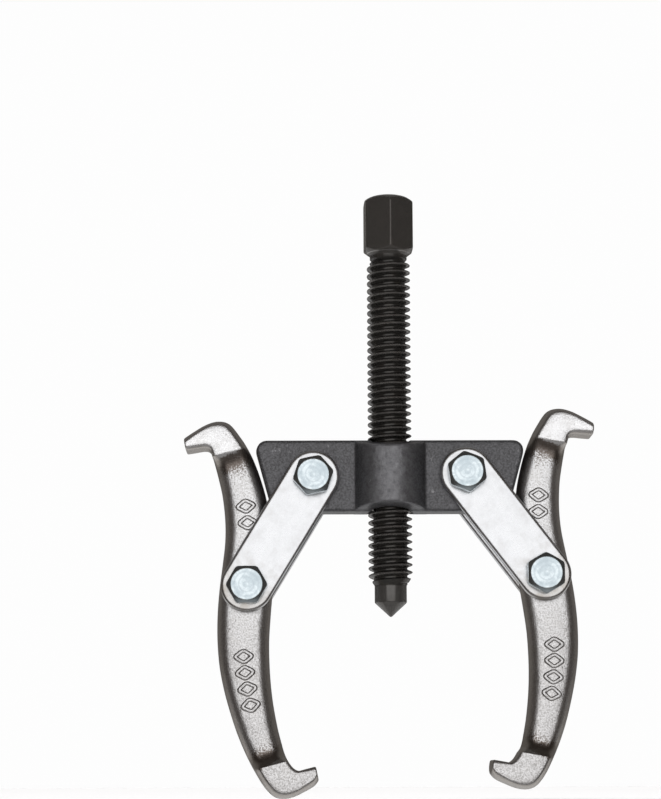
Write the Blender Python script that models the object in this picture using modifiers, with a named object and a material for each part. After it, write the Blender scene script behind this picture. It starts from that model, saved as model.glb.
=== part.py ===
"""Two-jaw reversible gear puller: a forged crossbar, a screwed spindle, two pairs of strap links
and two forged jaws on hex bolts. Metres, +Z up, the spindle on the Z axis, the front toward -Y,
and the lowest point of the jaws at Z = 0."""

import math

import bmesh
import bpy
from mathutils import Matrix, Vector

MM = 0.001
GAP = 0.3 * MM

# Crossbar
HUB_HEIGHT = 87.85 * MM
BAR_HALF_HEIGHT = 10.2 * MM
BAR_HALF_WIDTH = 38.1 * MM
BAR_HALF_THICKNESS = 3.8 * MM
BAR_END_SLOPE = math.radians(15.3)
BAR_CORNER = 3.0 * MM
BOSS_RADIUS = 10.3 * MM
BOSS_HALF_HEIGHT = 10.4 * MM
BOSS_DRAFT = math.radians(14)

# Spindle, heights from the middle of the crossbar
PITCH = 2.11 * MM
CREST_RADIUS = 6.1 * MM
ROOT_RADIUS = 4.65 * MM
TIP_RADIUS = 4.42 * MM
HEAD_FLATS = 13.3 * MM
HEAD_TOP = 79.7 * MM
HEAD_BOTTOM = 62.9 * MM
NECK_RADIUS = 5.2 * MM
THREAD_TOP = 61.2 * MM
THREAD_BOTTOM = -29.8 * MM
TIP_SHOULDER = -34.9 * MM
TIP_POINT = -38.7 * MM
HEAD_TURN = math.radians(4)
THREAD_LEAD_IN = 2.3 * MM
THREAD_RUN_OUT = 1.2 * MM
THREAD_STEPS = 16
# Thread section over one pitch: share of the pitch and radius
THREAD_SECTION = ((0.0, ROOT_RADIUS), (0.2, ROOT_RADIUS), (0.6, CREST_RADIUS))

# Links, bolts and nuts
LINK_CENTRES = 35.0 * MM
LINK_RADIUS = 7.25 * MM
LINK_THICKNESS = 2.5 * MM
LINK_EDGE = 0.4 * MM
BOLT_RADIUS = 3.0 * MM
BOLT_FLATS = 10.0 * MM
BOLT_HEAD = 4.0 * MM
BOLT_TOP_RADIUS = 4.35 * MM
BOLT_END = 12.6 * MM
NUT_THICKNESS = 5.0 * MM
HOLE_RADIUS = BOLT_RADIUS + GAP

# How the arms hang: the crossbar's bolt hole from the hub, link angle from vertical, jaw tilt and
# the turn of each bolt's hexagon.
ARMS = {
    "left": {
        "side": -1,
        "hole": (-21.3 * MM, -0.45 * MM),
        "link": 31.2,
        "jaw": 0.0,
        "hex": (41.5, 30.0),
    },
    "right": {
        "side": 1,
        "hole": (20.9 * MM, 0.45 * MM),
        "link": 37.2,
        "jaw": 4.3,
        "hex": (8.4, 0.0),
    },
}

# Jaw, in millimetres from its bolt, for the left jaw: pairs of points on its outward and inward
# edges, from the tip of the upper hook, down the arm, to the tip of the lower hook.
JAW_RAILS = (
    ((-17.0, 37.2), (-17.8, 41.0)),
    ((-14.5, 37.6), (-14.8, 43.0)),
    ((-12.2, 37.97), (-11.5, 44.9)),
    ((-10.9, 37.8), (-8.2, 45.8)),
    ((-10.2, 37.2), (-5.0, 45.0)),
    ((-10.0, 36.5), (-1.9, 41.2)),
    ((-9.6, 35.4), (0.0, 38.2)),
    ((-9.0, 33.3), (1.6, 35.0)),
    ((-8.0, 29.5), (3.4, 30.3)),
    ((-6.9, 24.5), (5.1, 24.5)),
    ((-6.2, 18.0), (6.2, 18.0)),
    ((-6.2, 12.0), (6.7, 12.0)),
    ((-6.9, 5.5), (6.9, 5.5)),
    ((-7.7, -1.0), (6.9, -1.5)),
    ((-8.2, -8.0), (6.4, -8.3)),
    ((-8.2, -15.0), (6.0, -15.0)),
    ((-7.6, -22.0), (6.1, -21.5)),
    ((-6.4, -28.2), (6.5, -27.3)),
    ((-4.8, -34.0), (7.2, -32.8)),
    ((-2.8, -40.0), (8.3, -38.6)),
    ((-0.9, -44.6), (9.4, -42.9)),
    ((0.7, -47.9), (10.2, -45.6)),
    ((1.9, -50.1), (11.2, -47.7)),
    ((3.6, -53.0), (12.3, -49.2)),
    ((5.2, -55.2), (13.3, -50.0)),
    ((7.2, -57.1), (14.2, -50.25)),
    ((9.6, -57.8), (15.1, -50.02)),
    ((12.6, -57.3), (16.0, -49.79)),
    ((15.8, -55.8), (16.9, -49.56)),
    ((18.2, -54.4), (17.8, -49.33)),
    ((19.5, -52.9), (18.7, -49.1)),
)
RAIL_STEPS = 2
RAIL_LIFT = 0.25
ARM_HALF_THICKNESS = 3.8
UPPER_PAD_HALF_THICKNESS = 5.5
LOWER_PAD_HALF_THICKNESS = 6.4
UPPER_PAD_END = 6.0
UPPER_STEP_END = 7.2
LOWER_STEP_START = 20.8
LOWER_PAD_START = 22.0
ARM_INSET = 3.2
# Section of a jaw's edge: height above the parting plane and inset, as shares of the whole
EDGE_SECTION = ((0.0, 0.0), (0.5, 0.12), (0.8, 0.36), (0.95, 0.7), (1.0, 1.0))


def collection(name):
    made = bpy.data.collections.new(name)
    bpy.context.scene.collection.children.link(made)
    return made


def material(name, colour, metallic, roughness):
    made = bpy.data.materials.new(name)
    made.use_nodes = True
    shader = made.node_tree.nodes["Principled BSDF"]
    shader.inputs["Base Color"].default_value = (*colour, 1.0)
    shader.inputs["Metallic"].default_value = metallic
    shader.inputs["Roughness"].default_value = roughness
    return made


def add_object(name, mesh, where, surface=None, parent=None):
    made = bpy.data.objects.new(name, mesh)
    where.objects.link(made)
    if surface:
        mesh.materials.append(surface)
    made.parent = parent
    return made


def add_empty(name, where, location, turn=0.0, parent=None):
    made = bpy.data.objects.new(name, None)
    where.objects.link(made)
    made.parent = parent
    made.location = location
    made.rotation_euler.y = turn
    return made


def boolean(target, operand, operation):
    cut = target.modifiers.new(f"{operation.lower()} {operand.name}", "BOOLEAN")
    cut.operation = operation
    cut.solver = "EXACT"
    cut.object = operand
    return cut


def to_mesh(name, work):
    """Orients the faces outward and stores a bmesh."""
    bmesh.ops.recalc_face_normals(work, faces=work.faces)
    mesh = bpy.data.meshes.new(name)
    work.to_mesh(mesh)
    work.free()
    return mesh


def shade_round(mesh, degrees=35):
    mesh.shade_smooth()
    mesh.set_sharp_from_angle(angle=math.radians(degrees))


def applied(source, name):
    """A mesh of an object with its modifiers applied, in the object's own space."""
    graph = bpy.context.evaluated_depsgraph_get()
    mesh = bpy.data.meshes.new_from_object(source.evaluated_get(graph))
    mesh.name = name
    used = source.data
    bpy.data.objects.remove(source)
    if used.users == 0:
        bpy.data.meshes.remove(used)
    return mesh


def turned_mesh(name, profile, steps):
    """Turns a profile of (radius, height) points, listed from top to bottom, about Z."""
    mesh = bpy.data.meshes.new(name + " profile")
    points = [(radius, 0.0, height) for radius, height in profile]
    mesh.from_pydata(points, [(i, i + 1) for i in range(len(points) - 1)], [])
    source = add_object(name + " turned", mesh, cutters)
    screw = source.modifiers.new("turn", "SCREW")
    screw.axis = "Z"
    screw.steps = steps
    screw.render_steps = steps
    screw.use_merge_vertices = True
    screw.merge_threshold = 0.00001
    return applied(source, name)


def hexagon_mesh(name, flats, low, high, turn=0.0):
    work = bmesh.new()
    bmesh.ops.create_cone(
        work,
        cap_ends=True,
        segments=6,
        radius1=flats / math.sqrt(3),
        radius2=flats / math.sqrt(3),
        depth=high - low,
        matrix=Matrix.Translation((0, 0, (low + high) / 2)) @ Matrix.Rotation(turn, 4, "Z"),
    )
    return to_mesh(name, work)


def rod_mesh(name, radius, low, high, segments=32):
    work = bmesh.new()
    bmesh.ops.create_cone(
        work,
        cap_ends=True,
        segments=segments,
        radius1=radius,
        radius2=radius,
        depth=high - low,
        matrix=Matrix.Translation((0, 0, (low + high) / 2)),
    )
    return to_mesh(name, work)


def lying(mesh):
    """Turns a mesh made along Z so that its +Z end points to the front, -Y."""
    mesh.transform(Matrix.Rotation(math.radians(90), 4, "X"))
    return mesh


def combined(name, base, steps):
    """A mesh made from base by boolean steps: (mesh, operation) pairs in one space."""
    source = add_object(name + " blank", base, cutters)
    tools = [add_object(f"{name} tool {i}", mesh, cutters) for i, (mesh, _) in enumerate(steps)]
    for tool, (_, operation) in zip(tools, steps):
        boolean(source, tool, operation)
    bpy.context.view_layer.update()
    mesh = applied(source, name)
    for tool in tools:
        used = tool.data
        bpy.data.objects.remove(tool)
        bpy.data.meshes.remove(used)
    return mesh


def rings_mesh(name, rings):
    """Skins closed rings of equal length and caps both ends."""
    work = bmesh.new()
    rows = [[work.verts.new(point) for point in ring] for ring in rings]
    count = len(rows[0])
    for first, second in zip(rows, rows[1:]):
        for i in range(count):
            j = (i + 1) % count
            work.faces.new((first[i], first[j], second[j], second[i]))
    work.faces.new(rows[0])
    work.faces.new(rows[-1])
    return to_mesh(name, work)


# Crossbar


def rounded_outline(corners, radius, steps):
    """Points round a convex outline in the XZ plane, each corner an arc of the radius."""
    points = []
    for i, corner in enumerate(corners):
        corner = Vector(corner)
        before = (Vector(corners[i - 1]) - corner).normalized()
        after = (Vector(corners[(i + 1) % len(corners)]) - corner).normalized()
        half = before.angle(after) / 2
        centre = corner + (before + after).normalized() * (radius / math.sin(half))
        start = corner + before * (radius / math.tan(half)) - centre
        end = corner + after * (radius / math.tan(half)) - centre
        sweep = start.angle_signed(end)
        for step in range(steps + 1):
            turn = Matrix.Rotation(-sweep * step / steps, 2)
            points.append(centre + turn @ start)
    return points


def inset_ring(points, inset, depth):
    """A convex outline moved inward by an inset, at a depth along Y."""
    ring = []
    for i, point in enumerate(points):
        along = points[(i + 1) % len(points)] - points[i - 1]
        inward = Vector((along.y, -along.x)).normalized()
        moved = point + inward * inset
        ring.append((moved.x, depth, moved.y))
    return ring


def wing_mesh():
    """The flat bar: two halves that draw away from the parting plane, with rounded edges."""
    low_half_width = BAR_HALF_WIDTH - 2 * BAR_HALF_HEIGHT * math.tan(BAR_END_SLOPE)
    corners = (
        (-BAR_HALF_WIDTH, BAR_HALF_HEIGHT),
        (BAR_HALF_WIDTH, BAR_HALF_HEIGHT),
        (low_half_width, -BAR_HALF_HEIGHT),
        (-low_half_width, -BAR_HALF_HEIGHT),
    )
    outline = rounded_outline(corners, BAR_CORNER, 6)
    section = ((0.0, 0.0), (0.84, 0.25 * MM), (0.95, 0.45 * MM), (1.0, 0.8 * MM))
    front = [inset_ring(outline, inset, -share * BAR_HALF_THICKNESS) for share, inset in section]
    back = [inset_ring(outline, inset, share * BAR_HALF_THICKNESS) for share, inset in section[1:]]
    return rings_mesh("wings", front[::-1] + back)


def boss_wedge_mesh():
    """A bar along X whose section narrows in height away from the parting plane."""
    reach = BOSS_RADIUS + 1 * MM
    drop = reach * math.tan(BOSS_DRAFT)
    section = (
        (0.0, BOSS_HALF_HEIGHT),
        (reach, BOSS_HALF_HEIGHT - drop),
        (reach, drop - BOSS_HALF_HEIGHT),
        (0.0, -BOSS_HALF_HEIGHT),
        (-reach, drop - BOSS_HALF_HEIGHT),
        (-reach, BOSS_HALF_HEIGHT - drop),
    )
    return rings_mesh("boss wedge", [[(x, y, z) for y, z in section] for x in (-reach, reach)])


def build_crossbar():
    boss = combined(
        "boss",
        rod_mesh("boss rod", BOSS_RADIUS, -BAR_HALF_WIDTH, BAR_HALF_WIDTH, 48),
        [(boss_wedge_mesh(), "INTERSECT")],
    )
    bore = rod_mesh("bore", CREST_RADIUS + GAP, -BAR_HALF_WIDTH, BAR_HALF_WIDTH, 32)
    steps = [(boss, "UNION"), (bore, "DIFFERENCE")]
    for arm in ARMS.values():
        x, z = arm["hole"]
        hole = lying(rod_mesh("link bolt hole", HOLE_RADIUS, -BOSS_RADIUS, BOSS_RADIUS, 24))
        hole.transform(Matrix.Translation((x, 0, z)))
        steps.append((hole, "DIFFERENCE"))
    mesh = combined("crossbar", wing_mesh(), steps)
    shade_round(mesh, 25)
    made = add_object("crossbar", mesh, parts, black_forging)
    made.location.z = HUB_HEIGHT
    return made


# Spindle


def thread_envelope(height):
    """The largest radius at a height: the thread's ends taper down to its root."""
    up = (height - THREAD_BOTTOM) / THREAD_LEAD_IN
    down = (THREAD_TOP - height) / THREAD_RUN_OUT
    share = max(0.0, min(1.0, up, down))
    return ROOT_RADIUS + share * (CREST_RADIUS - ROOT_RADIUS)


def core_mesh():
    """The threaded rod with its neck and point. Rows of vertices follow the helix: each row's end
    meets the start of the row one pitch higher, and both ends flatten into plain rings."""
    work = bmesh.new()

    def vertex(radius, column, height):
        angle = 2 * math.pi * column / THREAD_STEPS
        return work.verts.new((radius * math.cos(angle), radius * math.sin(angle), height))

    knots = len(THREAD_SECTION)
    turns = math.ceil((THREAD_TOP - THREAD_BOTTOM) / PITCH) + 2
    rows = []
    for turn in range(turns + 1):
        for share, radius in THREAD_SECTION:
            row = []
            for column in range(THREAD_STEPS):
                rise = turn - 1 + share + column / THREAD_STEPS
                height = THREAD_BOTTOM + rise * PITCH
                height = min(max(height, THREAD_BOTTOM), THREAD_TOP)
                row.append(vertex(min(radius, thread_envelope(height)), column, height))
            rows.append(row)
    for low in range(len(rows) - knots - 1):
        for column in range(THREAD_STEPS):
            wraps = column + 1 == THREAD_STEPS
            ahead = low + knots if wraps else low
            beside = 0 if wraps else column + 1
            work.faces.new(
                (
                    rows[low][column],
                    rows[ahead][beside],
                    rows[ahead + 1][beside],
                    rows[low + 1][column],
                )
            )
    for profile in (
        (
            (ROOT_RADIUS, THREAD_BOTTOM),
            (TIP_RADIUS, THREAD_BOTTOM - 0.3 * MM),
            (TIP_RADIUS, TIP_SHOULDER),
            (0.4 * MM, TIP_POINT),
        ),
        (
            (ROOT_RADIUS, THREAD_TOP),
            (NECK_RADIUS, THREAD_TOP + 0.5 * MM),
            (NECK_RADIUS, HEAD_BOTTOM + 4 * MM),
        ),
    ):
        rings = [
            [vertex(radius, column, height) for column in range(THREAD_STEPS)]
            for radius, height in profile
        ]
        for first, second in zip(rings, rings[1:]):
            for i in range(THREAD_STEPS):
                work.faces.new((first[i - 1], first[i], second[i], second[i - 1]))
        work.faces.new(rings[-1])
    bmesh.ops.remove_doubles(work, verts=work.verts, dist=0.000001)
    loose = [v for v in work.verts if not v.link_faces]
    bmesh.ops.delete(work, geom=loose, context="VERTS")
    return to_mesh("spindle core", work)


def build_spindle():
    head_radius = HEAD_FLATS / math.sqrt(3)
    head = combined(
        "spindle head",
        hexagon_mesh("spindle hexagon", HEAD_FLATS, HEAD_BOTTOM, HEAD_TOP, HEAD_TURN),
        [
            (
                turned_mesh(
                    "head chamfer",
                    (
                        (0, HEAD_TOP + GAP),
                        (0.55 * head_radius, HEAD_TOP - 0.05 * MM),
                        (0.86 * head_radius, HEAD_TOP - 0.7 * MM),
                        (1.02 * head_radius, HEAD_TOP - 1.7 * MM),
                        (1.02 * head_radius, HEAD_BOTTOM + 1.6 * MM),
                        (0.84 * head_radius, HEAD_BOTTOM - 0.1 * MM),
                        (0, HEAD_BOTTOM - 0.1 * MM),
                    ),
                    36,
                ),
                "INTERSECT",
            )
        ],
    )
    mesh = combined("spindle", core_mesh(), [(head, "UNION")])
    shade_round(mesh, 30)
    made = add_object("spindle", mesh, parts, black_steel)
    made.location.z = HUB_HEIGHT
    return made


# Links, bolts and nuts


def link_mesh():
    """A strap with round ends, two bolt holes and softened edges, along -Z from its first hole."""
    curve = bpy.data.curves.new("link outline", "CURVE")
    curve.dimensions = "2D"
    curve.fill_mode = "BOTH"
    curve.extrude = LINK_THICKNESS / 2 - LINK_EDGE
    curve.bevel_depth = LINK_EDGE
    curve.bevel_resolution = 0
    radius = LINK_RADIUS - LINK_EDGE
    steps = 14
    outline = []
    for centre, start in ((0.0, 0.0), (-LINK_CENTRES, math.pi)):
        for step in range(steps + 1):
            angle = start + math.pi * step / steps
            outline.append((radius * math.cos(angle), centre + radius * math.sin(angle)))
    loops = [outline]
    hole = HOLE_RADIUS + LINK_EDGE
    for centre in (0.0, -LINK_CENTRES):
        turns = [-2 * math.pi * step / 24 for step in range(24)]
        loops.append([(hole * math.cos(a), centre + hole * math.sin(a)) for a in turns])
    for loop in loops:
        spline = curve.splines.new("POLY")
        spline.points.add(len(loop) - 1)
        for point, (x, y) in zip(spline.points, loop):
            point.co = (x, y, 0, 1)
        spline.use_cyclic_u = True
    source = bpy.data.objects.new("link outline", curve)
    cutters.objects.link(source)
    graph = bpy.context.evaluated_depsgraph_get()
    mesh = bpy.data.meshes.new_from_object(source.evaluated_get(graph))
    bpy.data.objects.remove(source)
    bpy.data.curves.remove(curve)
    work = bmesh.new()
    work.from_mesh(mesh)
    bpy.data.meshes.remove(mesh)
    bmesh.ops.remove_doubles(work, verts=work.verts, dist=0.00001)
    mesh = lying(to_mesh("link", work))
    shade_round(mesh)
    return mesh


def bolt_mesh(turn):
    """A hex bolt along Y, its head to the front, its shank through both links."""
    under_head = BAR_HALF_THICKNESS + LINK_THICKNESS + 2 * GAP
    radius = BOLT_FLATS / math.sqrt(3)
    top = under_head + BOLT_HEAD
    head = combined(
        "bolt head",
        hexagon_mesh("bolt hexagon", BOLT_FLATS, under_head, top, turn),
        [
            (
                turned_mesh(
                    "bolt chamfer",
                    (
                        (0, top + 0.2 * MM),
                        (0.5 * BOLT_TOP_RADIUS, top),
                        (BOLT_TOP_RADIUS, top - 0.05 * MM),
                        (1.03 * radius, top - 1.25 * MM),
                        (1.03 * radius, under_head - GAP),
                        (0, under_head - GAP),
                    ),
                    36,
                ),
                "INTERSECT",
            )
        ],
    )
    shank = turned_mesh(
        "bolt shank",
        (
            (0, under_head + 2 * MM),
            (BOLT_RADIUS, under_head + 2 * MM),
            (BOLT_RADIUS, 0.6 * MM - BOLT_END),
            (BOLT_RADIUS - 0.6 * MM, -BOLT_END),
            (0, -BOLT_END),
        ),
        24,
    )
    mesh = lying(combined("hex bolt", head, [(shank, "UNION")]))
    shade_round(mesh, 25)
    return mesh


def nut_mesh(turn):
    """A hex nut on the back, chamfered on both faces."""
    near = BAR_HALF_THICKNESS + LINK_THICKNESS + 2 * GAP
    far = near + NUT_THICKNESS
    radius = BOLT_FLATS / math.sqrt(3)
    envelope = turned_mesh(
        "nut chamfer",
        (
            (0, -near + GAP),
            (0.87 * radius, -near + 0.01 * MM),
            (1.03 * radius, -near - 0.7 * MM),
            (1.03 * radius, -far + 0.7 * MM),
            (0.87 * radius, -far - 0.01 * MM),
            (0, -far - GAP),
        ),
        36,
    )
    bore = rod_mesh("nut bore", HOLE_RADIUS, -far - NUT_THICKNESS, -near + NUT_THICKNESS, 24)
    blank = hexagon_mesh("nut hexagon", BOLT_FLATS, -far, -near, turn)
    mesh = lying(combined("hex nut", blank, [(envelope, "INTERSECT"), (bore, "DIFFERENCE")]))
    shade_round(mesh, 25)
    return mesh


# Jaws


def smooth_rail(points, steps):
    """A Catmull-Rom curve through the points."""
    ends = [2 * points[0] - points[1], *points, 2 * points[-1] - points[-2]]
    curve = []
    for before, start, end, after in zip(ends, ends[1:], ends[2:], ends[3:]):
        for step in range(steps):
            t = step / steps
            curve.append(
                0.5
                * (
                    2 * start
                    + (end - before) * t
                    + (2 * before - 5 * start + 4 * end - after) * t * t
                    + (3 * start - before - 3 * end + after) * t**3
                )
            )
    return [*curve, points[-1]]


def ramp(value, start, end):
    return min(max((value - start) / (end - start), 0.0), 1.0)


def jaw_section(station):
    """Half thickness, insets of the outward and inward edges, and how much each edge drafts."""
    upper = 1.0 - ramp(station, UPPER_PAD_END, UPPER_STEP_END)
    lower = ramp(station, LOWER_STEP_START, LOWER_PAD_START)
    arm = 1.0 - upper - lower
    half = (
        upper * UPPER_PAD_HALF_THICKNESS + lower * LOWER_PAD_HALF_THICKNESS + arm * ARM_HALF_THICKNESS
    )
    outward = upper * 0.5 + lower * 1.4 + arm * ARM_INSET
    inward = upper * 1.7 + lower * 0.5 + arm * ARM_INSET
    outward_draft = lower + arm
    inward_draft = upper + arm
    return half, (outward, outward_draft), (inward, inward_draft)


def jaw_mesh(side):
    """A forging lofted along its arm, with a raised, thicker pad at each hook."""
    lift = Vector((0, RAIL_LIFT))
    outward_rail = smooth_rail([Vector(pair[0]) + lift for pair in JAW_RAILS], RAIL_STEPS)
    inward_rail = smooth_rail([Vector(pair[1]) + lift for pair in JAW_RAILS], RAIL_STEPS)
    rings = []
    for i, (outward, inward) in enumerate(zip(outward_rail, inward_rail)):
        half, outward_edge, inward_edge = jaw_section(i / RAIL_STEPS)
        across = (inward - outward).normalized()
        ring = []
        for start, direction, (inset, draft), order in (
            (outward, across, outward_edge, 1),
            (inward, -across, inward_edge, -1),
        ):
            edge = []
            for height, share in EDGE_SECTION:
                moved = start + direction * inset * (share if share == 1.0 else share * draft)
                edge.append((moved, height * half))
            back = [(point, height) for point, height in edge[:0:-1]]
            front = [(point, -height) for point, height in edge]
            ring += (back + front)[::order]
        rings.append([(-side * p.x * MM, y * MM, p.y * MM) for p, y in ring])
    hole = lying(rod_mesh("jaw bolt hole", HOLE_RADIUS, -BOSS_RADIUS, BOSS_RADIUS, 24))
    mesh = combined("jaw", rings_mesh("jaw blank", rings), [(hole, "DIFFERENCE")])
    shade_round(mesh, 30)
    return mesh


def build_arm(name, side, hole, link, jaw, hexagons):
    """One arm: a frame empty on the crossbar bolt carries the links and both bolts; the jaw
    hangs from the frame on its own bolt."""
    angle = -side * math.radians(link)
    frame = add_empty(f"{name}_link_frame", parts, (hole[0], 0, HUB_HEIGHT + hole[1]), angle)
    offset = BAR_HALF_THICKNESS + GAP + LINK_THICKNESS / 2
    for place, y in (("front", -offset), ("rear", offset)):
        strap = add_object(f"{name}_{place}_link", link_mesh(), parts, zinc_plate, frame)
        strap.location.y = y
    for place, height, turn in (
        ("crossbar", 0.0, hexagons[0]),
        ("jaw", -LINK_CENTRES, hexagons[1]),
    ):
        hexagon_turn = math.radians(turn) + angle
        bolt = add_object(f"{name}_{place}_bolt", bolt_mesh(hexagon_turn), parts, zinc_plate, frame)
        nut = add_object(f"{name}_{place}_nut", nut_mesh(hexagon_turn), parts, zinc_plate, frame)
        for fastener in (bolt, nut):
            fastener.location.z = height
    forging = add_object(f"{name}_jaw", jaw_mesh(side), parts, nickel_forging, frame)
    forging.location.z = -LINK_CENTRES
    forging.rotation_euler.y = -side * math.radians(jaw) - angle


for old in list(bpy.data.objects):
    bpy.data.objects.remove(old)

parts = collection("gear_puller")
cutters = collection("cutters")

black_forging = material("black_forging", (0.045, 0.045, 0.048), 0.6, 0.55)
black_steel = material("black_steel", (0.02, 0.019, 0.018), 0.7, 0.4)
zinc_plate = material("zinc_plate", (0.82, 0.84, 0.86), 1.0, 0.28)
nickel_forging = material("nickel_forging", (0.55, 0.54, 0.53), 1.0, 0.38)

build_crossbar()
build_spindle()
for arm, place in ARMS.items():
    build_arm(
        arm,
        place["side"],
        place["hole"],
        place["link"],
        place["jaw"],
        place["hex"],
    )
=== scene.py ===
"""Gear puller: fine pieces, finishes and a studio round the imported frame."""

import math

import bmesh
import bpy
from mathutils import Matrix, Vector, noise

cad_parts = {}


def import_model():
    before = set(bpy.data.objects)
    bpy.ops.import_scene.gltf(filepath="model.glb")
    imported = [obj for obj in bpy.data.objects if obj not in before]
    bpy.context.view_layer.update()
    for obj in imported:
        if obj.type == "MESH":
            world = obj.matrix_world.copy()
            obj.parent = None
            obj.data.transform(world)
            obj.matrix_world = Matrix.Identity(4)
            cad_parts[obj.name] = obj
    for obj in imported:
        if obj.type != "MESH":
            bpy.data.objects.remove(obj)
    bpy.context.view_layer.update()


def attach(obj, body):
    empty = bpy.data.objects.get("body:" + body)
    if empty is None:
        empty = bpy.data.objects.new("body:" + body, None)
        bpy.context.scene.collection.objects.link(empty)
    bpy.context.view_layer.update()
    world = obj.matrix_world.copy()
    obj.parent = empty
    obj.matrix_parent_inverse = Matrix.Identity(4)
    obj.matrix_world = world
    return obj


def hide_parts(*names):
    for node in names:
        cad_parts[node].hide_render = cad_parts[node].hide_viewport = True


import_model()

# Lengths are in millimetres unless they are multiplied by MM
MM = 0.001
HUB = Vector((0, 0, 87.85 * MM))
GAP = 0.3
WELD = 0.001
# Half lengths of the cutters, longer than what they go through
HOLE_CUTTER = 12
BORE_CUTTER = 20
CENTRE_PLANE = 3.8
HOLE_RADIUS = 3.3
LINK_THICKNESS = 2.5
LINK_CENTRES = 35.0
LINK_RADIUS = 7.25
LINK_EDGE = 1.05
LINK_END_STEPS = 40
LINK_SIDE_STEPS = 12
UNDER_HEAD = CENTRE_PLANE + LINK_THICKNESS + 2 * GAP
BOLT_FLATS = 10.0
BOLT_CORNER = 0.22
BOLT_RADIUS = 3.0
BOLT_THREAD_ROOT = 2.62
BOLT_THREAD_PITCH = 0.5
BOLT_HEAD = 4.0
BOLT_DISC = 4.35
BOLT_CHAMFER = 0.68
BOLT_END = 12.6
NUT_THICKNESS = 5.0
NUT_DISC = 4.6
NUT_FAR_CHAMFER = 0.55
NUT_NEAR_CHAMFER = 0.4
# Per arm: side of the crossbar, its bolt hole there, and the angles of link, jaw and bolts
ARMS = {
    "left": {
        "side": -1,
        "hole": (-21.3, -0.45),
        "link": 31.2,
        "jaw": 0.0,
        "hex": (41.5, 30.0),
    },
    "right": {
        "side": 1,
        "hole": (20.9, 0.45),
        "link": 37.2,
        "jaw": 4.3,
        "hex": (8.4, 0.0),
    },
}


# ---------------------------------------------------------------- mesh helpers


def mesh_from(name, work, recalculate=True):
    if recalculate:
        bmesh.ops.recalc_face_normals(work, faces=work.faces)
    mesh = bpy.data.meshes.new(name)
    work.to_mesh(mesh)
    work.free()
    return mesh


def add_piece(name, mesh, surface, body, node, sharp, place):
    """Places a finished mesh on a moving body, in place of the plain node."""
    mesh.shade_smooth()
    mesh.set_sharp_from_angle(angle=math.radians(sharp))
    mesh.materials.clear()
    mesh.materials.append(surface)
    made = linked(name, mesh)
    made.matrix_world = place
    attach(made, body)
    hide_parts(node)


def skin(work, rings, close=False):
    """Joins rings of vertices of equal length with quads."""
    pairs = list(zip(rings, rings[1:]))
    if close:
        pairs.append((rings[-1], rings[0]))
    for first, second in pairs:
        count = len(first)
        for i in range(count):
            j = (i + 1) % count
            corners = [first[i], first[j], second[j], second[i]]
            unique = list(dict.fromkeys(corners))
            if len(unique) > 2:
                work.faces.new(unique)


def new_ring(work, points):
    return [work.verts.new(p) for p in points]


def baked(source):
    """The evaluated mesh of a temporary object, which is then removed."""
    graph = bpy.context.evaluated_depsgraph_get()
    mesh = bpy.data.meshes.new_from_object(source.evaluated_get(graph))
    data = source.data
    is_mesh = source.type == "MESH"
    bpy.data.objects.remove(source)
    if is_mesh:
        bpy.data.meshes.remove(data)
    else:
        bpy.data.curves.remove(data)
    return mesh


def linked(name, data):
    """A new object in the scene."""
    made = bpy.data.objects.new(name, data)
    bpy.context.scene.collection.objects.link(made)
    return made


def with_boolean(mesh, tools):
    """A mesh after boolean steps with (mesh, operation) pairs."""
    source = linked("blank", mesh)
    helpers = []
    for i, (tool, operation) in enumerate(tools):
        helper = linked(f"tool {i}", tool)
        step = source.modifiers.new(f"step {i}", "BOOLEAN")
        step.operation = operation
        step.solver = "MANIFOLD"
        step.object = helper
        helpers.append(helper)
    bpy.context.view_layer.update()
    result = baked(source)
    for helper in helpers:
        data = helper.data
        bpy.data.objects.remove(helper)
        bpy.data.meshes.remove(data)
    return result


def cylinder(radius, half_length, segments):
    work = bmesh.new()
    rings = []
    for z in (-half_length, half_length):
        turns = [2 * math.pi * i / segments for i in range(segments)]
        rings.append(new_ring(work, [(radius * math.cos(a), radius * math.sin(a), z) for a in turns]))
    skin(work, rings)
    work.faces.new(rings[0])
    work.faces.new(rings[1])
    return mesh_from("rod", work)


def lying(mesh):
    """Turns a mesh made along Z so that +Z points to the front, -Y."""
    mesh.transform(Matrix.Rotation(math.radians(90), 4, "X"))
    return mesh


def in_metres(mesh):
    mesh.transform(Matrix.Scale(MM, 4))
    return mesh


# ---------------------------------------------------------------- materials


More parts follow.
